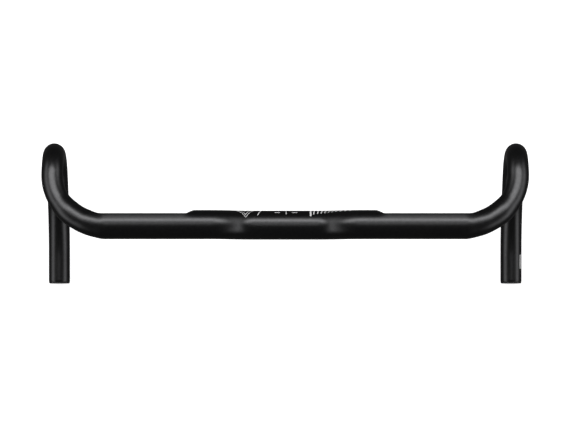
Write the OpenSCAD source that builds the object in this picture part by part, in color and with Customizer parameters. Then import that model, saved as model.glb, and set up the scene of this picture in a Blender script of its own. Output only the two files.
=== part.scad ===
// Drop handlebar: one bent, butted alloy tube with an expanding plug in each end.
// Frame: X to the rider's right, Y forward, Z up. Origin: centre of the stem clamp, on the tube's axis.

/* [Stem clamp] */
// Diameter of the round centre that the stem grips
clamp_d = 31.8; // [25.4:0.1:35]
// Length of the straight round centre
clamp_w = 66; // [50:1:80]
// Wall at the centre, where the tube is thickest
clamp_wall = 2; // [1.8:0.1:3.5]

/* [Tops] */
// How far the tops stand above the centre
rise = 15; // [8:0.5:25]
// Length along X of the S-bend that makes the rise
rise_run = 52; // [44:1:64]
// How far the tops lie forward of the centre
tops_forward = 0.7; // [0:0.1:4]
// Length of the round seat between the S-bend and the cable channel
seat_w = 13; // [8:0.5:18]
// Distance of the grips from the middle of the bar, centre to centre is twice this
half_width = 255.1; // [200:0.1:270]

/* [Cable channel] */
// How far the channel sets the front of the tops back
channel_set = 3.3; // [1:0.1:4.5]
// How much deeper the channel is at its middle than at its lips
channel_dish = 1.4; // [0:0.1:2]
// How far the metal beside the channel swells out at its lips
lip_swell = 0.9; // [0:0.1:1.2]
// Length over which the channel fades in
channel_fade = 15; // [6:1:20]

/* [Corner bends] */
// Centreline radius of the bend from each top into its ramp
bend_r = 59; // [50:1:70]
// Slope of the bend's plane and of the ramp that follows it
ramp_slope = 20; // [5:1:30]

/* [Hooks] */
// Outer diameter of the ramps, hooks and drops
grip_d = 23.8; // [22.2:0.1:24.2]
// Wall of the ramps, hooks and drops
grip_wall = 1.7; // [1.5:0.1:2.6]
// Centreline radius of the front of the hook
hook_r = 34; // [28:1:45]
// Centreline radius of the lower hook, where the hand sits
palm_r = 45; // [38:1:60]
// Length of the straight between the lower hook and the drop
lean_run = 34; // [20:1:40]
// Angle of that straight below level
lean = 29; // [15:1:35]
// Centreline radius of the sweep that levels out into the drop
sweep_r = 125; // [90:5:140]
// Distance of the tube's ends behind the stem clamp's axis
end_back = 64.2; // [60:0.1:90]

/* [End plugs] */
// Thickness of the plug's flange, which closes the tube
flange_t = 2; // [1.5:0.1:4]
// Radial gap between the plug and the bore before it is tightened
plug_gap = 0.2; // [0.1:0.05:0.4]
// Diameter of the plug's screw
screw_d = 4.9; // [4:0.1:5]
// Length of the split sleeve that grips the bore
sleeve_len = 18; // [14:1:22]

/* [Size label] */
// Length of the label along the drop
label_len = 15.6; // [8:0.1:20]
// Part of the drop's girth that the label covers, in degrees
label_wrap = 80; // [60:5:180]
// Distance from the tube's end to the label
label_from_end = 14.9; // [5:0.1:15]

/* [Hidden] */
$fn = 96;

clamp_r = clamp_d / 2;
grip_r = grip_d / 2;
bore_r = grip_r - grip_wall;

// S-bend: two equal arcs in a plane that leans forward by tops_lean
tops_lean = atan(tops_forward / rise);
rise_len = norm([tops_forward, rise]);
s_turn = 2 * atan(rise_len / rise_run);
s_r = rise_run / (2 * sin(s_turn));
s_end = clamp_w / 2 + rise_run;
seat_end = s_end + seat_w;
bend_start = half_width - bend_r;

// Places along the side of the bar, as [forward, up] in the plane of the hook
ramp_end = [tops_forward + bend_r * cos(ramp_slope), rise - bend_r * sin(ramp_slope)];
hook_c = ramp_end - hook_r * [sin(ramp_slope), cos(ramp_slope)];
palm_c = hook_c + [hook_r - palm_r, 0];
lean_start = palm_c + palm_r * [sin(lean), -cos(lean)];
lean_end = lean_start - lean_run * [cos(lean), sin(lean)];
sweep_c = lean_end + sweep_r * [-sin(lean), cos(lean)];
drop_start = sweep_c - [0, sweep_r];
drop_z = drop_start[1];

// Where two stretches of the tube meet, each stops short and a ring joins them, a hair thicker than both
joint_gap = 0.2;
ring_len = 1;
ring_skin = 0.03;
ring_bore = 0.05;

// Swept stretch: from the round seat through the channelled top and the corner, down to grip size
taper_end = 60;                      // angle of the bend at which the tube has its grip size
overlap = 0.3;                       // how far the sweep runs over the round stretches at its ends
skin = 0.09;                         // how far its corners stand proud of them
lip_round = 1.2;                     // blending of the channel's lips
lip_angle = acos((clamp_r - channel_set) / (clamp_r + lip_swell));
swell_start = 64;                    // angle from the channel's middle where the swell begins
run_out_before = 8;                  // how far before the bend the channel begins to run out
run_out = 42;                        // and over what length it does
// Diameter along the bend as [angle, diameter]
bend_taper = [[0, clamp_d], [10, 29.4], [20, 27.9], [30, 26.5], [42, 26.3], [taper_end, grip_d]];
// Angles around the section, measured from the middle of the channel and closer at its lips
section_angles = concat([for (a = [-30:10:30]) a],
                        [for (a = [34:4:46]) a],
                        [for (i = [1:24]) 46 + 268 * i / 25],
                        [for (a = [-46:4:-34]) 360 + a]);
sides = len(section_angles);

// End plug, along its own axis: 0 at the tube's end, positive outwards
cap_r = grip_r - 0.3;
plug_r = bore_r - plug_gap;
spigot = 9;
head_r = 4.25;
head_h = 5;
head_top = flange_t - 0.3;
screw_r = screw_d / 2;
screw_len = 36;
sleeve_top = -spigot;
sleeve_end = sleeve_top - sleeve_len;
cone_gap = 0.3;
band_r = 0.6;
label_t = 0.04;
label_gap = 0.04;

function smooth_min(a, b, k) = min(a, b) - pow(max(k - abs(a - b), 0), 2) / (4 * k);
function wrap(a) = a > 180 ? a - 360 : a;

// Radius of the wall beside the channel, which swells towards the lips
function swollen_radius(a) =
    clamp_r + lip_swell * pow(max(swell_start - abs(a), 0) / (swell_start - lip_angle), 2);

// Radius of the channelled section at an angle from the channel's middle, for the full-size tube
function channel_radius(a) =
    abs(a) > 80 ? clamp_r
    : smooth_min(swollen_radius(a),
                 (clamp_r - channel_set - channel_dish * pow(max(1 - pow(a / lip_angle, 2), 0), 1.5)) / cos(a),
                 lip_round);

// A section of the sweep: centre, inner and upper directions, diameter, wall, channel's share and its turn
function station(centre, inward, upward, d, wall, share, turn) = [centre, inward, upward, d, wall, share, turn];

function top_station(x) =
    station([x, tops_forward, rise], [0, 1, 0], [0, 0, 1], clamp_d, clamp_wall,
            ease((x - seat_end) / channel_fade) * run_out_share(x - bend_start), 0);

function bend_station(a) =
    station([bend_start + bend_r * sin(a),
             tops_forward + bend_r * (1 - cos(a)) * cos(ramp_slope),
             rise - bend_r * (1 - cos(a)) * sin(ramp_slope)],
            [-sin(a), cos(a) * cos(ramp_slope), -cos(a) * sin(ramp_slope)],
            [0, sin(ramp_slope), cos(ramp_slope)],
            lookup(a, bend_taper), clamp_wall + (grip_wall - clamp_wall) * min(a / taper_end, 1),
            run_out_share(bend_r * a * PI / 180), ramp_slope * (1 - ease(a / 30)));

// Share of the channel at a distance past the start of the bend
function run_out_share(s) = 1 - ease((s + run_out_before) / run_out);

function arc_angle(len, r) = len / r * 180 / PI;
function ease(t) = let (u = min(max(t, 0), 1)) u * u * (3 - 2 * u);

function section(s, inset) =
    [for (a = section_angles)
        let (turned = a + s[6],
             cut = 1 - s[5] * (1 - channel_radius(wrap(a)) / clamp_r),
             r = (s[3] / 2 + skin) * cut - inset)
        s[0] + r * (cos(turned) * s[1] + sin(turned) * s[2])];

stations = concat([top_station(seat_end - overlap)],
                  [for (t = [0:0.2:1]) top_station(seat_end + channel_fade * t)],
                  [top_station(bend_start - run_out_before)],
                  [for (a = [0:5:taper_end]) bend_station(a)],
                  [bend_station(taper_end + arc_angle(overlap, bend_r))]);

// Skin of a hollow sweep: outer wall, inner wall and the two end rings
module hollow_sweep(stations) {
    n = len(stations);
    outer = [for (s = stations) each section(s, 0)];
    inner = [for (s = stations) each section(s, s[4] - skin)];
    base = n * sides;
    faces = [for (i = [0:n - 2], j = [0:sides - 1])
                let (k = (j + 1) % sides, a = i * sides, b = a + sides)
                each [[a + j, b + j, b + k], [a + j, b + k, a + k],
                      [base + a + j, base + b + k, base + b + j], [base + a + j, base + a + k, base + b + k]]];
    last = (n - 1) * sides;
    rings = [for (j = [0:sides - 1])
                let (k = (j + 1) % sides)
                each [[j, k, base + k], [j, base + k, base + j],
                      [last + j, base + last + k, last + k], [last + j, base + last + j, base + last + k]]];
    polyhedron(points = concat(outer, inner), faces = concat(faces, rings), convexity = 6);
}

module pipe_section(r, wall) {
    difference() {
        circle(r);
        circle(r - wall);
    }
}

// Straight pipe along Z
module pipe(len, r, wall) {
    linear_extrude(len) pipe_section(r, wall);
}

// Bent pipe about Z, from angle a0, turning anticlockwise and stopping short at both ends
module pipe_bend(bend, a0, turn, r, wall) {
    trim = arc_angle(joint_gap, bend);
    rotate(a0 + trim) rotate_extrude(angle = turn - 2 * trim) translate([bend, 0]) pipe_section(r, wall);
}

// Ring that joins two stretches at a place and heading in the drawing's plane
module joint_ring(place, heading, r, wall) {
    translate(place) rotate(heading) rotate([0, 90, 0]) translate([0, 0, -ring_len / 2])
        pipe(ring_len, r + ring_skin, wall + ring_skin - ring_bore);
}

// Lays a shape drawn as [forward, up] into the plane of the hook
module hook_plane() {
    translate([half_width, 0, 0]) rotate([90, 0, 90]) children();
}

module centre_pipe() {
    len = clamp_w - 2 * joint_gap;
    translate([-len / 2, 0, 0]) rotate([0, 90, 0]) pipe(len, clamp_r, clamp_wall);
}

module s_bend() {
    mid = [clamp_w / 2 + s_r * sin(s_turn), s_r * (1 - cos(s_turn))];
    rotate([90 - tops_lean, 0, 0]) {
        joint_ring([clamp_w / 2, 0], 0, clamp_r, clamp_wall);
        translate([clamp_w / 2, s_r]) pipe_bend(s_r, -90, s_turn, clamp_r, clamp_wall);
        joint_ring(mid, s_turn, clamp_r, clamp_wall);
        translate([s_end, rise_len - s_r]) pipe_bend(s_r, 90, s_turn, clamp_r, clamp_wall);
        joint_ring([s_end, rise_len], 0, clamp_r, clamp_wall);
    }
    translate([s_end + joint_gap, tops_forward, rise]) rotate([0, 90, 0])
        pipe(seat_w - joint_gap, clamp_r, clamp_wall);
}

module ramp_bend() {
    turn = 90 - taper_end;
    translate([bend_start, tops_forward, rise]) rotate([-ramp_slope, 0, 0])
        translate([0, bend_r, 0]) rotate(-turn)
            rotate_extrude(angle = turn - arc_angle(joint_gap, bend_r))
                translate([bend_r, 0]) pipe_section(grip_r, grip_wall);
}

module hook_and_drop() {
    run = lean_run - 2 * joint_gap;
    hook_plane() {
        joint_ring(ramp_end, -ramp_slope, grip_r, grip_wall);
        translate(hook_c) pipe_bend(hook_r, 0, 90 - ramp_slope, grip_r, grip_wall);
        joint_ring(hook_c + [hook_r, 0], -90, grip_r, grip_wall);
        translate(palm_c) pipe_bend(palm_r, lean - 90, 90 - lean, grip_r, grip_wall);
        joint_ring(lean_start, lean, grip_r, grip_wall);
        translate((lean_start + lean_end) / 2) rotate(lean) rotate([0, 90, 0])
            translate([0, 0, -run / 2]) pipe(run, grip_r, grip_wall);
        joint_ring(lean_end, lean, grip_r, grip_wall);
        translate(sweep_c) pipe_bend(sweep_r, -90, lean, grip_r, grip_wall);
        joint_ring(drop_start, 0, grip_r, grip_wall);
        translate([-end_back, drop_z]) rotate([0, 90, 0])
            pipe(end_back + drop_start[0] - joint_gap, grip_r, grip_wall);
    }
}

module half_tube() {
    s_bend();
    hollow_sweep(stations);
    ramp_bend();
    hook_and_drop();
}

module handlebar_tube() {
    color("#1b1b1d") {
        centre_pipe();
        half_tube();
        mirror([1, 0, 0]) half_tube();
    }
}

// Places a plug part at one end of the bar: side is -1 for left and 1 for right
module at_end(side) {
    translate([side * half_width, -end_back, drop_z]) rotate([90, 0, 0]) children();
}

module end_cap(side) {
    color("#232325") at_end(side) difference() {
        union() {
            cylinder(h = flange_t - 0.6, r = cap_r);
            translate([0, 0, flange_t - 0.6]) cylinder(h = 0.6, r1 = cap_r, r2 = cap_r - 0.6);
            translate([0, 0, -spigot]) cylinder(h = spigot, r = plug_r);
        }
        translate([0, 0, -spigot - 1]) cylinder(h = spigot + flange_t + 2, r = screw_r + 0.3);
        translate([0, 0, head_top - head_h - 0.2]) cylinder(h = head_h + 3, r = head_r + 0.35);
    }
}

module expander_sleeve(side) {
    color("#3a3a3c") at_end(side) difference() {
        translate([0, 0, sleeve_end]) cylinder(h = sleeve_len, r = plug_r);
        translate([0, 0, sleeve_end - 1]) cylinder(h = sleeve_len + 2, r = 4);
        translate([0, 0, sleeve_end - 0.01])
            cylinder(h = sleeve_len * 0.7, r1 = 8, r2 = 4);
        for (i = [0:3]) rotate(45 + 90 * i)
            translate([0, -0.75, sleeve_end - 1]) cube([plug_r + 1, 1.5, sleeve_len * 0.75 + 1]);
        translate([0, 0, sleeve_end + 4]) rotate_extrude()
            translate([plug_r - 2 * band_r, 0]) square([3 * band_r, 2 * band_r]);
    }
}

module sleeve_band(side) {
    color("#101010") at_end(side) translate([0, 0, sleeve_end + 4 + band_r])
        rotate_extrude() translate([plug_r - band_r + 0.05, 0]) circle(band_r - 0.05);
}

module cone_nut(side) {
    tip = sleeve_end + 0.7 * sleeve_len - 3;
    color("#8d8f93") at_end(side) difference() {
        union() {
            translate([0, 0, sleeve_end - 1])
                cylinder(h = tip - sleeve_end + 1, r1 = 8 - cone_gap + 4 / (0.7 * sleeve_len),
                         r2 = 8 - cone_gap - 4 * (tip - sleeve_end) / (0.7 * sleeve_len));
            translate([0, 0, sleeve_end - 3]) cylinder(h = 2, r = 8.4);
        }
        translate([0, 0, sleeve_end - 4]) cylinder(h = sleeve_len + 4, r = screw_r + 0.05);
    }
}

module plug_screw(side) {
    color("#2b2b2e") at_end(side) difference() {
        union() {
            translate([0, 0, head_top - head_h]) cylinder(h = head_h - 0.4, r = head_r);
            translate([0, 0, head_top - 0.4]) cylinder(h = 0.4, r1 = head_r, r2 = head_r - 0.4);
            translate([0, 0, head_top - head_h - screw_len]) cylinder(h = screw_len, r = screw_r);
        }
        translate([0, 0, head_top - 2.8]) cylinder(h = 3, r = 2.31, $fn = 6);
    }
}

module size_label() {
    color("#e6e6e4")
        translate([half_width, -end_back + label_from_end, drop_z]) rotate([-90, 0, 0])
            rotate(-label_wrap / 2) rotate_extrude(angle = label_wrap)
                translate([grip_r + label_gap, 0]) square([label_t, label_len]);
}

handlebar_tube();
size_label();
end_cap(-1);  // left_end_cap
expander_sleeve(-1);  // left_expander_sleeve
sleeve_band(-1);  // left_sleeve_band
cone_nut(-1);  // left_cone_nut
plug_screw(-1);  // left_plug_screw
end_cap(1);  // right_end_cap
expander_sleeve(1);  // right_expander_sleeve
sleeve_band(1);  // right_sleeve_band
cone_nut(1);  // right_cone_nut
plug_screw(1);  // right_plug_screw
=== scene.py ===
"""Drop handlebar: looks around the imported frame. Lengths in the tables are millimetres, in the frame's axes:
X to the rider's right, Y forward, Z up, with the origin at the middle of the stem clamp."""

from bisect import bisect_right
from math import acos, atan, atan2, ceil, cos, degrees, hypot, pi, radians, sin

import bmesh
import bpy
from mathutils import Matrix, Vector


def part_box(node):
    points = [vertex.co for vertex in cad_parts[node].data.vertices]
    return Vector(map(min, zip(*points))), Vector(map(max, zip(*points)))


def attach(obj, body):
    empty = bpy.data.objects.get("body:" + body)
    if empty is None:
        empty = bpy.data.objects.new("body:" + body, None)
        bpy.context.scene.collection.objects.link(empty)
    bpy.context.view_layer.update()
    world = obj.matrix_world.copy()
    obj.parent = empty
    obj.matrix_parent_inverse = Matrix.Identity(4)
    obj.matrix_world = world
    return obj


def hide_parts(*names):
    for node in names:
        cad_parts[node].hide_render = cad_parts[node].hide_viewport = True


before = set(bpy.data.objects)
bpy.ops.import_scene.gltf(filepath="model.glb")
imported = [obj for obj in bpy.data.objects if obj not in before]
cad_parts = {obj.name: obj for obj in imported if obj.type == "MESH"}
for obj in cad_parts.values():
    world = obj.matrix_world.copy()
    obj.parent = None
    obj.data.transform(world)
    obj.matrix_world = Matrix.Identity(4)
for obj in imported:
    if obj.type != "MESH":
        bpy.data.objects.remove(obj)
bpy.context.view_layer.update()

MM = 0.001

# Stem clamp and tops
CLAMP_R, CLAMP_W, TOP_WALL = 15.9, 66, 2.0
RISE, RISE_RUN, TOPS_FORWARD, SEAT_W = 15, 52, 0.7, 13
HALF_WIDTH = 255.1
# Cable channel
CHANNEL_SET, CHANNEL_DISH, CHANNEL_FADE, LIP_ROUND, LIP_SWELL = 3.3, 1.4, 15, 1.2, 0.9
RUN_OUT_BEFORE, RUN_OUT = 8, 42
LIP_ANGLE, SWELL_START = acos((CLAMP_R - CHANNEL_SET) / (CLAMP_R + LIP_SWELL)), radians(64)
# Corner bends, hooks and drops
BEND_R, RAMP_SLOPE, TAPER_END = 59, radians(20), 60
BEND_TAPER = [(0, 31.8), (10, 29.4), (20, 27.9), (30, 26.5), (42, 26.3), (60, 23.8), (90, 23.8)]
GRIP_R, GRIP_WALL = 11.9, 1.7
HOOK_R, PALM_R, LEAN_RUN, LEAN, SWEEP_R = 34, 45, 34, radians(29), 125
END_BACK, CUT_CHAMFER = 64.2, 0.25

# How fine the tube's mesh is
RING_STEP, FINE_STEP = 2.0, 1.0


# ---- Meshes ----

def finished(mesh, name, *finishes, smooth=True):
    """Turns a bmesh into an object with its finishes."""
    bmesh.ops.recalc_face_normals(mesh, faces=mesh.faces)
    data = bpy.data.meshes.new(name)
    for face in mesh.faces:
        face.smooth = smooth
    mesh.to_mesh(data)
    mesh.free()
    piece = bpy.data.objects.new(name, data)
    bpy.context.scene.collection.objects.link(piece)
    for finish in finishes:
        data.materials.append(finish)
    return piece


def ease(t):
    """Smooth step from 0 to 1."""
    t = min(max(t, 0), 1)
    return t * t * (3 - 2 * t)


def steps(start, stop, spacing):
    """Even places from start to stop, both included."""
    count = max(1, ceil(abs(stop - start) / spacing))
    return [start + (stop - start) * i / count for i in range(count + 1)]


def bend_diameter(angle):
    """Diameter at an angle of the corner bend, on a smooth curve through the table."""
    i = min(max(bisect_right([a for a, _ in BEND_TAPER], angle), 1), len(BEND_TAPER) - 1)

    def slope(k):
        if k in (0, len(BEND_TAPER) - 1):
            return 0
        before, here, after = BEND_TAPER[k - 1:k + 2]
        left = (here[1] - before[1]) / (here[0] - before[0])
        right = (after[1] - here[1]) / (after[0] - here[0])
        return 0 if left * right <= 0 else 2 * left * right / (left + right)

    (a0, d0), (a1, d1) = BEND_TAPER[i - 1:i + 1]
    run = a1 - a0
    t = (angle - a0) / run
    return (d0 * (2 * t**3 - 3 * t**2 + 1) + d1 * (3 * t**2 - 2 * t**3)
            + run * slope(i - 1) * (t**3 - 2 * t**2 + t) + run * slope(i) * (t**3 - t**2))


def smooth_min(a, b, blend):
    """The smaller of two numbers, rounded where they meet."""
    return min(a, b) - max(blend - abs(a - b), 0) ** 2 / (4 * blend)


def channel_radius(angle):
    """Radius of the channelled section at an angle in radians from the channel's middle."""
    if abs(angle) > radians(80):
        return CLAMP_R
    dish = CHANNEL_DISH * max(1 - (angle / LIP_ANGLE) ** 2, 0) ** 1.5
    swell = LIP_SWELL * (max(SWELL_START - abs(angle), 0) / (SWELL_START - LIP_ANGLE)) ** 2
    return smooth_min(CLAMP_R + swell, (CLAMP_R - CHANNEL_SET - dish) / cos(angle), LIP_ROUND)


class Ring:
    """One section of the tube: place, forward and upper directions, radius, wall, channel share and turn."""

    def __init__(self, place, forward, upper, radius=CLAMP_R, wall=TOP_WALL, share=0.0, turn=0.0):
        self.place, self.forward, self.upper = Vector(place), Vector(forward), Vector(upper)
        self.radius, self.wall, self.share, self.turn = radius, wall, share, turn

    def point(self, angle, proud=0.0):
        """Place on the wall at an angle from the front of the section towards its top, in millimetres."""
        signed = (angle + pi) % (2 * pi) - pi
        cut = 1 - self.share * (1 - channel_radius(signed) / CLAMP_R)
        out = self.radius * cut + proud
        turned = angle + self.turn
        return self.place + out * (cos(turned) * self.forward + sin(turned) * self.upper)

    def mirrored(self):
        def flip(v):
            return (-v[0], v[1], v[2])
        return Ring(flip(self.place), flip(self.forward), flip(self.upper),
                    self.radius, self.wall, self.share, self.turn)


def s_bend_ring(distance):
    """Ring of the S-bend at a distance along it."""
    lean_sine, lean_cosine = TOPS_FORWARD / RISE_LEN, RISE / RISE_LEN
    arc = S_TURN * S_R
    turned = distance / S_R if distance <= arc else (2 * arc - distance) / S_R
    if distance <= arc:
        along, up = CLAMP_W / 2 + S_R * sin(turned), S_R * (1 - cos(turned))
    else:
        along, up = S_END - S_R * sin(turned), RISE_LEN - S_R * (1 - cos(turned))
    lean = Vector((0, lean_sine, lean_cosine))
    side = Vector((0, lean_cosine, -lean_sine))
    across = Vector((-sin(turned), 0, 0)) + cos(turned) * lean
    return Ring(Vector((along, 0, 0)) + up * lean,
                lean_cosine * side + lean_sine * across, lean_cosine * across - lean_sine * side)


def run_out(distance):
    """Share of the channel at a distance past the start of the corner bend, where it runs out."""
    return 1 - ease((distance + RUN_OUT_BEFORE) / RUN_OUT)


def bend_ring(angle):
    """Ring of the corner bend at an angle in degrees."""
    a, slope = radians(angle), RAMP_SLOPE
    return Ring((BEND_START + BEND_R * sin(a), TOPS_FORWARD + BEND_R * (1 - cos(a)) * cos(slope),
                 RISE - BEND_R * (1 - cos(a)) * sin(slope)),
                (-sin(a), cos(a) * cos(slope), -cos(a) * sin(slope)), (0, sin(slope), cos(slope)),
                bend_diameter(angle) / 2, TOP_WALL + (GRIP_WALL - TOP_WALL) * min(angle / TAPER_END, 1),
                run_out(BEND_R * a), slope * (1 - ease(angle / 30)))


def hook_ring(forward, up, heading):
    """Ring of the hook and drop, in an upright plane along the bike. The heading is above level."""
    return Ring((HALF_WIDTH, forward, up), (-1, 0, 0), (0, -sin(heading), cos(heading)), GRIP_R, GRIP_WALL)


RISE_LEN = hypot(TOPS_FORWARD, RISE)
S_TURN = 2 * atan(RISE_LEN / RISE_RUN)
S_R = RISE_RUN / (2 * sin(S_TURN))
S_END = CLAMP_W / 2 + RISE_RUN
SEAT_END = S_END + SEAT_W
BEND_START = HALF_WIDTH - BEND_R


def bar_ring(distance):
    """Ring of the bar's middle at a signed distance along it from the centre, out to the round seat."""
    far = abs(distance)
    if far <= CLAMP_W / 2:
        return Ring((distance, 0, 0), (0, 1, 0), (0, 0, 1))
    bend = 2 * S_TURN * S_R
    if far <= CLAMP_W / 2 + bend:
        ring = s_bend_ring(far - CLAMP_W / 2)
    else:
        ring = Ring((S_END + far - CLAMP_W / 2 - bend, TOPS_FORWARD, RISE), (0, 1, 0), (0, 0, 1))
    return ring if distance > 0 else ring.mirrored()


def arc(centre, radius, start, stop):
    """Places and headings along an arc in the hook's plane, at angles seen from its centre."""
    for a in steps(start, stop, FINE_STEP * 1.5 / radius):
        yield centre[0] + radius * cos(a), centre[1] + radius * sin(a), a - pi / 2


def right_half():
    """Rings from the centre of the bar to the right end of the tube."""
    rings = [bar_ring(d) for d in steps(0, CLAMP_W / 2, RING_STEP)]
    rings += [s_bend_ring(d) for d in steps(0, 2 * S_TURN * S_R, FINE_STEP)][1:]
    for x in (steps(S_END, SEAT_END, RING_STEP)[1:] + steps(SEAT_END, SEAT_END + CHANNEL_FADE, 0.75)[1:]
              + steps(SEAT_END + CHANNEL_FADE, BEND_START, RING_STEP)[1:]):
        rings.append(Ring((x, TOPS_FORWARD, RISE), (0, 1, 0), (0, 0, 1),
                          share=ease((x - SEAT_END) / CHANNEL_FADE) * run_out(x - BEND_START)))
    rings += [bend_ring(a) for a in steps(0, 90, 1.25)][1:]
    ramp_end = (TOPS_FORWARD + BEND_R * cos(RAMP_SLOPE), RISE - BEND_R * sin(RAMP_SLOPE))
    hook = (ramp_end[0] - HOOK_R * sin(RAMP_SLOPE), ramp_end[1] - HOOK_R * cos(RAMP_SLOPE))
    palm = (hook[0] + HOOK_R - PALM_R, hook[1])
    run = (palm[0] + PALM_R * sin(LEAN), palm[1] - PALM_R * cos(LEAN))
    run_end = (run[0] - LEAN_RUN * cos(LEAN), run[1] - LEAN_RUN * sin(LEAN))
    sweep = (run_end[0] - SWEEP_R * sin(LEAN), run_end[1] + SWEEP_R * cos(LEAN))
    path = list(arc(hook, HOOK_R, pi / 2 - RAMP_SLOPE, 0))[1:]
    path += list(arc(palm, PALM_R, 0, LEAN - pi / 2))[1:]
    path += [(run[0] + (run_end[0] - run[0]) * t, run[1] + (run_end[1] - run[1]) * t, LEAN - pi)
             for t in steps(0, 1, RING_STEP / LEAN_RUN)][1:]
    path += list(arc(sweep, SWEEP_R, LEAN - pi / 2, -pi / 2))[1:]
    path += [(y, sweep[1] - SWEEP_R, -pi) for y in steps(sweep[0], CUT_CHAMFER - END_BACK, RING_STEP)][1:]
    return rings + [hook_ring(*place) for place in path]


def section_angles():
    """Angles around the section, closer at the channel's lips."""
    angles, a = [], -180.0
    while a < 180 - 1e-6:
        angles.append(radians(a))
        near = abs(abs(a) - degrees(LIP_ANGLE))
        a += 1.25 if near < 10 and angles else (2.5 if abs(a) < 60 else 4.0)
    return angles


def tube_mesh():
    """The whole tube as one closed skin: outer wall, cut ends and bore."""
    half = right_half()
    rings = [ring.mirrored() for ring in reversed(half[1:])] + half
    angles = section_angles()
    mesh = bmesh.new()

    def loop(ring, inset, back=0.0):
        outwards = ring.upper.cross(ring.forward) if back else Vector()
        return [mesh.verts.new((ring.point(a, -inset) - outwards * back) * MM) for a in angles]

    def end_loops(ring, side):
        """Chamfered cut end, from the outer wall to the bore."""
        back = -side * CUT_CHAMFER
        return [loop(ring, 0), loop(ring, CUT_CHAMFER, back), loop(ring, ring.wall - CUT_CHAMFER, back),
                loop(ring, ring.wall)]

    left, right = end_loops(rings[0], 1), end_loops(rings[-1], -1)
    outer = [loop(ring, 0) for ring in rings[1:-1]]
    bore = [loop(ring, ring.wall) for ring in rings[1:-1:2]]
    loops = [left[0]] + outer + right + bore[::-1] + left[:0:-1]
    bore_from, bore_to = len(outer) + 4, len(outer) + 5 + len(bore)
    n = len(angles)
    for i, here in enumerate(loops):
        after = loops[(i + 1) % len(loops)]
        for j in range(n):
            face = mesh.faces.new((here[j], here[(j + 1) % n], after[(j + 1) % n], after[j]))
            face.material_index = 1 if bore_from <= i < bore_to else 0
    return mesh


# ---- Finishes ----

class Wire:
    """A socket with arithmetic: an expression on wires adds its Math nodes."""

    def __init__(self, finish, socket):
        self.finish, self.socket = finish, socket

    def maths(self, operation, *others):
        node = self.finish.node("Math", {"operation": operation}, dict(enumerate((self, *others))))
        return Wire(self.finish, node.outputs[0])

    def __add__(self, other): return self.maths("ADD", other)
    def __sub__(self, other): return self.maths("SUBTRACT", other)
    def __mul__(self, other): return self.maths("MULTIPLY", other)
    def __truediv__(self, other): return self.maths("DIVIDE", other)
    def __lt__(self, other): return self.maths("LESS_THAN", other)
    def __gt__(self, other): return self.maths("GREATER_THAN", other)
    def __rsub__(self, other): return (self * -1.0) + other
    __radd__, __rmul__ = __add__, __mul__


class Nodes:
    """The nodes of a material or of the sky."""

    def __init__(self, owner):
        owner.use_nodes = True
        self.tree = owner.node_tree
        self.tree.nodes.clear()

    def node(self, kind, settings, sockets):
        """Adds a node: its settings first, then the values or wires of its sockets."""
        node = self.tree.nodes.new("ShaderNode" + kind)
        for key, value in settings.items():
            if key == "stops":
                ramp = node.color_ramp.elements
                while len(ramp) < len(value):
                    ramp.new(0.5)
                for stop, (position, shade) in zip(ramp, value):
                    stop.position, stop.color = position, shade
            else:
                setattr(node, key, value)
        for key, value in sockets.items():
            if isinstance(value, Wire):
                self.tree.links.new(value.socket, node.inputs[key])
            else:
                node.inputs[key].default_value = value
        return node

    def axes(self, place):
        """The three numbers of a place or a direction."""
        split = self.node("SeparateXYZ", {}, {0: place})
        return [Wire(self, socket) for socket in split.outputs]

    def ramp(self, value, *stops):
        """The value sent through a ramp of greys, given as (position, level)."""
        node = self.node("ValToRGB", {"stops": [(p, (v, v, v, 1)) for p, v in stops]}, {"Fac": value})
        return Wire(self, node.outputs[0])


class Finish(Nodes):
    """A material, measured in millimetres on the object."""

    def __init__(self, name, **constants):
        self.material = bpy.data.materials.new(name)
        super().__init__(self.material)
        self.shader = self.node("BsdfPrincipled", {}, constants)
        output = self.node("OutputMaterial", {}, {})
        self.tree.links.new(self.shader.outputs["BSDF"], output.inputs["Surface"])
        place = self.node("TexCoord", {}, {})
        scaled = self.node("VectorMath", {"operation": "SCALE"},
                           {0: Wire(self, place.outputs["Object"]), "Scale": 1 / MM})
        self.place = Wire(self, scaled.outputs[0])

    def stretched(self, x, y, z):
        """The place, scaled by different amounts along the axes."""
        node = self.node("VectorMath", {"operation": "MULTIPLY"}, {0: self.place, 1: (x, y, z)})
        return Wire(self, node.outputs[0])

    def grain(self, size, detail=2.0, roughness=0.5, place=None):
        """Noise from 0 to 1 with features of a size in millimetres."""
        node = self.node("TexNoise", {}, {"Vector": place or self.place, "Scale": 1 / size,
                                          "Detail": detail, "Roughness": roughness})
        return Wire(self, node.outputs[0])

    def mixed(self, share, first, second):
        """Colour between two colours."""
        node = self.node("Mix", {"data_type": "RGBA"}, {0: share, 6: first, 7: second})
        return Wire(self, node.outputs[2])

    def bumps(self, height, depth, strength=1.0, under=None):
        """Normal from a height of 0 to 1, whose full depth is in millimetres."""
        sockets = {"Height": height, "Distance": depth * MM, "Strength": strength}
        if under:
            sockets["Normal"] = under
        return Wire(self, self.node("Bump", {}, sockets).outputs[0])

    def feed(self, **wires):
        """Sends wires to the shader's sockets, whose spaces are written as underscores."""
        for key, wire in wires.items():
            self.tree.links.new(wire.socket, self.shader.inputs[key.replace("_", " ")])
        return self.material


def grey(level, blue=0.0):
    """A grey, with a little more blue if asked."""
    return (level, level, level * (1 + blue), 1)


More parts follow.
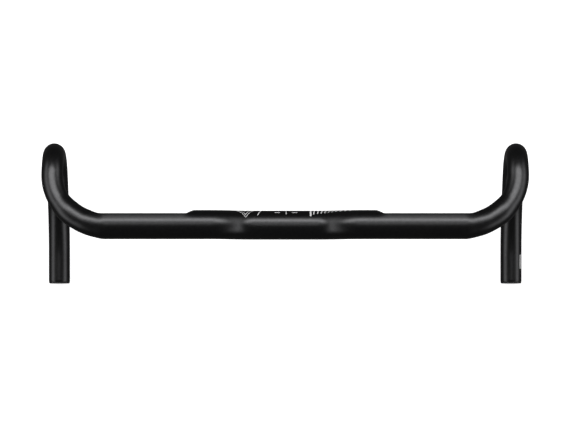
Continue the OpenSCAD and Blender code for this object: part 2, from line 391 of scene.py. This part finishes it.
def satin_black():
    """Black anodised alloy over a fine blast: satin, with a fine speckle and faint cloudy handling."""
    finish = Finish("satin_black_anodised", Metallic=1.0)
    speckle = finish.grain(0.45, 3.0, 0.6)
    cloud = finish.grain(24.0, 3.0, 0.55)
    patch = finish.grain(3.2, 2.0, 0.6)
    shade = finish.ramp(speckle * 0.6 + patch * 0.4, (0.3, 0.0), (0.7, 1.0))
    colour = finish.mixed(shade, grey(0.052, 0.02), grey(0.078, 0.03))
    rough = 0.26 + speckle * 0.03 + patch * 0.02 + cloud * 0.04
    blast = finish.bumps(finish.grain(0.3, 2.0, 0.7), 0.004, 0.4)
    normal = finish.bumps(patch, 0.006, 0.4, blast)
    return finish.feed(Base_Color=colour, Roughness=rough, Normal=normal)


def drawn_bore():
    """Raw drawn alloy inside the tube, with draw lines along the drop."""
    finish = Finish("drawn_alloy_bore", Metallic=1.0)
    lines = finish.grain(1.0, 3.0, 0.6, finish.stretched(3.0, 0.05, 3.0))
    cloud = finish.grain(6.0, 3.0, 0.6)
    colour = finish.mixed(finish.ramp(lines * 0.6 + cloud * 0.4, (0.3, 0.0), (0.7, 1.0)),
                          grey(0.16), grey(0.30, 0.02))
    rough = 0.36 + lines * 0.22
    return finish.feed(Base_Color=colour, Roughness=rough, Normal=finish.bumps(lines, 0.02, 0.6))


def printed_ink():
    """White pad-printed ink with a slightly uneven film."""
    finish = Finish("white_print", Metallic=0.0)
    film = finish.grain(0.7, 3.0, 0.6)
    colour = finish.mixed(finish.ramp(film, (0.3, 0.0), (0.7, 1.0)), grey(0.80), grey(0.93))
    return finish.feed(Base_Color=colour, Roughness=0.42 + film * 0.2, Normal=finish.bumps(film, 0.01, 0.5))


BAR_STEP, BAR_SHUFFLE, BAR_SHARE = 2.2, 43758.5, 0.48


def label_film():
    """Matte white film with rows of plain dark bars."""
    finish = Finish("label_film", Metallic=0.0)
    x, y, z = finish.axes(finish.place)
    low, high = (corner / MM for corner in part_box("size_label"))
    middle_z = (low.z + high.z) / 2
    girth = (z - middle_z).maths("ARCTAN2", x - HALF_WIDTH) * GRIP_R
    along = y - low.y
    fibre = finish.grain(0.35, 3.0, 0.6)

    def band(value, centre, half):
        """1 inside a band of the value, 0 outside."""
        return (value - centre).maths("ABSOLUTE") < half

    length = high.y - low.y
    inside = band(along, length / 2, length / 2 - 1.1)
    # Bars across the label, all of one length, drawn on steps of the along value
    code = (along * BAR_STEP).maths("FLOOR").maths("SINE") * BAR_SHUFFLE
    printed_part = band(girth, 0.6, 3.0) * band(along, length / 2, length / 2 - 1.6)
    bars = (code.maths("FRACT") > BAR_SHARE) * printed_part
    rule_high = band(girth, 6.1, 0.38) * inside
    rule_low = band(girth, -5.2, 0.30) * inside
    ink = (bars + rule_high + rule_low).maths("MINIMUM", 1.0)
    paper = finish.mixed(fibre, grey(0.60), grey(0.72))
    colour = finish.mixed(ink * 0.92, paper, grey(0.05))
    return finish.feed(Base_Color=colour, Roughness=0.55 + fibre * 0.2,
                       Normal=finish.bumps(fibre, 0.012, 0.5))


def moulded(name, dark, light, rough, grain_size, depth):
    """Moulded black plastic with a spark-eroded grain."""
    finish = Finish(name, Metallic=0.0)
    pores = finish.grain(grain_size, 3.0, 0.65)
    flow = finish.grain(5.0, 2.0, 0.5)
    shade = finish.ramp(flow * 0.5 + pores * 0.5, (0.3, 0.0), (0.7, 1.0))
    colour = finish.mixed(shade, grey(dark), grey(light, 0.02))
    return finish.feed(Base_Color=colour, Roughness=rough + pores * 0.12 + flow * 0.06,
                       Normal=finish.bumps(pores, depth, 0.7))


def band_rubber():
    """Dull black rubber with a dusty bloom."""
    finish = Finish("band_rubber", Metallic=0.0)
    bloom = finish.grain(0.8, 4.0, 0.65)
    colour = finish.mixed(bloom, grey(0.012), grey(0.032))
    return finish.feed(Base_Color=colour, Roughness=0.68 + bloom * 0.2, Normal=finish.bumps(bloom, 0.02, 0.6))


def turned(name, dark, light, rough, pitch):
    """Metal turned on a lathe about the drop's axis: fine rings at the tool's pitch."""
    finish = Finish(name, Metallic=1.0)
    x, y, z = finish.axes(finish.place)
    low, high = (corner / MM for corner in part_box("right_end_cap"))
    out = (x.maths("ABSOLUTE") - HALF_WIDTH)
    up = z - (low.z + high.z) / 2
    radius = (out * out + up * up).maths("SQRT")
    rings = ((radius + y) * (2 * pi / pitch)).maths("SINE") * 0.5 + 0.5
    wear = finish.grain(1.4, 3.0, 0.6)
    colour = finish.mixed(finish.ramp(wear, (0.3, 0.0), (0.7, 1.0)), grey(dark), grey(light, 0.02))
    return finish.feed(Base_Color=colour, Roughness=rough + wear * 0.16,
                       Normal=finish.bumps(rings, 0.008, 0.6))


# ---- Pieces ----

BAR_FINISH, BORE_FINISH, INK = satin_black(), drawn_bore(), printed_ink()

tube = finished(tube_mesh(), "tube_skin", BAR_FINISH, BORE_FINISH)
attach(tube, "bar")
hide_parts("handlebar_tube")


# Printed marks: strokes on the bar's middle, each (along, height) to (along, height) with a width.
# Along is the distance from the centre; height is around the bar from its front line, upwards.
INK_ROOT, INK_FILM = -0.02, 0.03


def stroke(mesh, start, stop, width):
    """A straight printed stroke, a thin closed slab with its ends square to the bar's front line."""
    count = max(1, ceil(hypot(stop[0] - start[0], stop[1] - start[1]) / 0.8))
    run, rise = stop[0] - start[0], stop[1] - start[1]
    level = abs(rise) < abs(run) * 0.2
    rows = []
    for i in range(count + 1):
        t = i / count
        along, height = start[0] + run * t, start[1] + rise * t
        row = []
        for proud, side in ((INK_FILM, -1), (INK_FILM, 1), (INK_ROOT, 1), (INK_ROOT, -1)):
            s = along + (0 if level else side * width / 2)
            h = height + (side * width / 2 if level else 0)
            row.append(mesh.verts.new(bar_ring(s).point(h / CLAMP_R, proud) * MM))
        rows.append(row)
    for a, b in zip(rows, rows[1:]):
        for j in range(4):
            mesh.faces.new((a[j], a[(j + 1) % 4], b[(j + 1) % 4], b[j]))
    mesh.faces.new(rows[0])
    mesh.faces.new(rows[-1][::-1])


def printed(name, strokes):
    """A printed piece from strokes, each repeated below the bar's front line."""
    mesh = bmesh.new()
    for start, stop, width in strokes:
        if start[1] <= 0:
            stroke(mesh, (start[0], -stop[1]), stop, width)
        else:
            stroke(mesh, start, stop, width)
            stroke(mesh, (start[0], -start[1]), (stop[0], -stop[1]), width)
    piece = finished(mesh, name, INK, smooth=False)
    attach(piece, "bar")
    return piece


# Nested chevrons whose tips lean outwards with the S-bend: height of the tip, reach at the front line, width
CHEVRON_X, TIP_LEAN = -45.0, 0.11
CHEVRONS = [(16.0, 12.5, 1.0), (12.0, 8.0, 0.9), (5.2, 2.6, 0.9)]
printed("chevron_print", [((CHEVRON_X - TIP_LEAN * tip, tip), (CHEVRON_X + side * reach, 0.4), width)
                          for side in (-1, 1) for tip, reach, width in CHEVRONS]
        + [((-30.2, 13.4), (-25.3, 1.0), 0.9)])
CENTRE_X = 1.0
printed("centring_marks", [((CENTRE_X, 5.0), (CENTRE_X, 11.5), 0.8),
                           ((CENTRE_X - 1.8, 0.9), (CENTRE_X + 1.8, 0.9), 1.6)]
        + [((CENTRE_X + side * 6.6, 8.4), (CENTRE_X + side * 12.4, 8.4), 1.0) for side in (-1, 1)]
        + [((CENTRE_X + side * 18.0, 0), (CENTRE_X + side * 18.0, 3.0), 0.8) for side in (-1, 1)])
HATCH_START, HATCH_STEP, HATCH_STROKES = 31.0, 4.8, 10
HATCH = [HATCH_START + HATCH_STEP * i for i in range(HATCH_STROKES)]
printed("hatch_print", [((27.8, 0), (27.8, 14.6), 1.9)]
        + [((x, 11.6 - 0.15 * (x - HATCH_START)), (x + 1.2, 0.6), 1.3) for x in HATCH])

for name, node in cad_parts.items():
    if name == "handlebar_tube":
        continue
    kind = name.split("_", 1)[1]
    node.data.materials.clear()
    if name == "size_label":
        node.data.materials.append(label_film())
    elif kind == "end_cap":
        node.data.materials.append(moulded(name + "_plastic", 0.010, 0.022, 0.42, 0.30, 0.03))
    elif kind == "expander_sleeve":
        node.data.materials.append(moulded(name + "_nylon", 0.018, 0.032, 0.34, 0.45, 0.02))
    elif kind == "sleeve_band":
        node.data.materials.append(band_rubber())
    elif kind == "cone_nut":
        node.data.materials.append(turned(name + "_alloy", 0.42, 0.56, 0.24, 0.35))
    else:
        node.data.materials.append(turned(name + "_black_oxide", 0.030, 0.055, 0.30, 0.28))

# ---- Stage, lights and camera ----

FLOOR_Z = -0.1206


def floor():
    """Plain white floor, bright enough to leave no shadow under a bar that stands clear of it."""
    mesh = bmesh.new()
    bmesh.ops.create_grid(mesh, x_segments=8, y_segments=8, size=6.0)
    finish = Finish("floor_white", Roughness=0.9, **{"Emission Strength": 0.9})
    shade = finish.grain(900.0, 2.0, 0.5)
    paint = finish.mixed(shade, grey(0.90), grey(0.92))
    piece = finished(mesh, "floor", finish.feed(Base_Color=paint, Emission_Color=paint))
    piece.location.z = FLOOR_Z
    piece.visible_glossy = piece.visible_diffuse = False


# Soft boxes, in degrees: the way each one leans, its middle and half width from straight up, its brightness,
# and how far along it stays full and is gone. A front one keeps its height as it curves round to the sides.
SOFTBOXES = [
    ("front", 40, 18, 4.5, (35, 80)),     # long strip light in front of the bar
    ("front", 5, 35, 1.0, (35, 80)),      # broad light overhead
    ("right", -70, 30, 1.4, (25, 60)),    # side walls
    ("right", 70, 30, 1.4, (25, 60)),
]
FLOOR_GLOW = 0.06


def faded(sky, angle, full, gone, level):
    """A level that holds out to one angle and fades smoothly to nothing at another."""
    edge = sky.node("MapRange", {"interpolation_type": "SMOOTHSTEP"},
                    {"Value": angle.maths("ABSOLUTE"), "From Min": full, "From Max": gone,
                     "To Min": level, "To Max": 0.0})
    return Wire(sky, edge.outputs[0])


def studio():
    """Soft light from the sky; the camera itself sees a plain white backdrop."""
    world = bpy.data.worlds.new("studio")
    bpy.context.scene.world = world
    sky = Nodes(world)
    right, forward, up = sky.axes(Wire(sky, sky.node("TexCoord", {}, {}).outputs["Generated"]))
    level = (right * right + forward * forward).maths("SQRT")
    ways = {"front": (level.maths("ARCTAN2", up), right.maths("ARCTAN2", forward)),
            "right": (right.maths("ARCTAN2", up), forward.maths("ARCSINE"))}
    light = FLOOR_GLOW
    for way, middle, half_width, brightness, (full, gone) in SOFTBOXES:
        tilt, aside = ways[way]
        across = faded(sky, tilt - radians(middle), 0.0, radians(half_width), brightness)
        along = faded(sky, aside, radians(full), radians(gone), 1.0)
        light = light + across * along
    lit = sky.node("Background", {}, {"Color": grey(1.0), "Strength": light})
    backdrop = sky.node("Background", {}, {"Color": grey(1.0), "Strength": 1.0})
    seen = Wire(sky, sky.node("LightPath", {}, {}).outputs["Is Camera Ray"])
    both = sky.node("MixShader", {},
                    {0: seen, 1: Wire(sky, lit.outputs[0]), 2: Wire(sky, backdrop.outputs[0])})
    output = sky.node("OutputWorld", {}, {})
    sky.tree.links.new(both.outputs[0], output.inputs["Surface"])


floor()
studio()

bpy.context.scene.view_settings.view_transform = "Standard"

# Straight above the bar with a long lens; the place is in metres
CAMERA_PLACE, SENSOR, LENS = (0.0009, 0.0111, 3.2), 36.0, 184.28

camera = bpy.data.objects.new("camera", bpy.data.cameras.new("camera"))
bpy.context.scene.collection.objects.link(camera)
camera.location = CAMERA_PLACE
camera.data.sensor_width, camera.data.lens = SENSOR, LENS
camera.data.clip_start, camera.data.clip_end = 0.05, 30.0
bpy.context.scene.camera = camera
